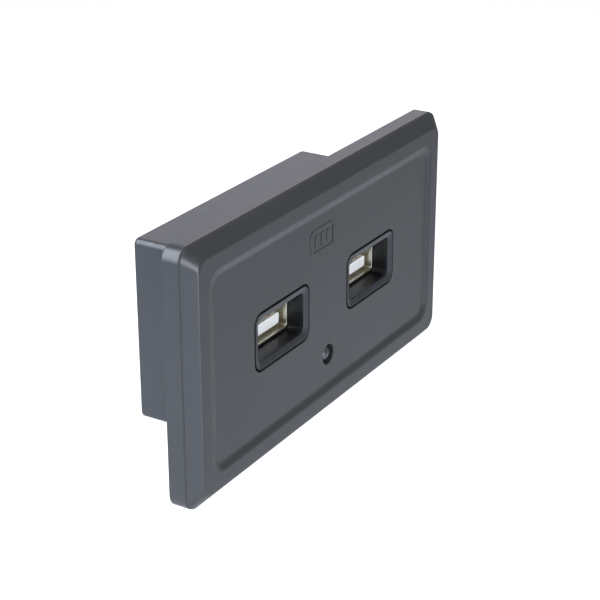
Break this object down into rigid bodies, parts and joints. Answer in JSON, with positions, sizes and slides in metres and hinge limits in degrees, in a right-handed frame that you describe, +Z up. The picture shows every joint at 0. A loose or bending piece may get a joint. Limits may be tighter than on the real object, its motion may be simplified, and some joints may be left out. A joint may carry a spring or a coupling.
{
  "type": "car dual usb socket",
  "caption": "Flush rectangular dashboard socket with side-by-side charging ports in recessed liners, an indicator lamp, and an offset rear housing with a supply inlet.",
  "frame": {"origin": "centre of the fascia's rear rim face, which seats on the dashboard", "axes": "+X to the right along the fascia, +Y into the dashboard, +Z up"},
  "size_m": [0.076, 0.0263, 0.041],
  "materials": {
    "fascia_plastic": "satin",
    "liner_plastic": "satin",
    "housing_plastic": "satin",
    "shell_metal": "satin",
    "white_plastic": "satin",
    "contact_metal": "polished",
    "board_laminate": "gloss",
    "inlet_plastic": "satin",
    "lamp_resin": "gloss",
    "tinned_metal": "satin",
    "ferrite": "matt",
    "can_aluminium": "satin",
    "chip_resin": "matt",
    "ceramic": "satin",
    "fuse_body": "satin",
    "screw_steel": "zinc"
  },
  "bodies": {
    "root": {"front_bezel": "fascia_plastic", "left_port_liner": "liner_plastic", "right_port_liner": "liner_plastic", "left_port_shell": "shell_metal", "right_port_shell": "shell_metal", "left_port_insulator": "white_plastic", "right_port_insulator": "white_plastic", "left_port_contacts": "contact_metal", "right_port_contacts": "contact_metal", "port_board": "board_laminate", "power_board": "board_laminate", "board_link_pins": "contact_metal", "inlet_connector": "inlet_plastic", "inlet_pins": "contact_metal", "indicator_lamp": "lamp_resin", "indicator_leads": "tinned_metal", "choke": "ferrite", "choke_core": "ferrite", "reservoir_capacitor": "can_aluminium", "capacitor_base": "chip_resin", "converter_chip": "chip_resin", "charge_chips": "chip_resin", "ceramic_capacitors": "ceramic", "chip_resistors": "chip_resin", "rectifier_diode": "chip_resin", "input_fuse": "fuse_body", "rear_housing": "housing_plastic", "housing_screws": "screw_steel"}
  },
  "joints": []
}
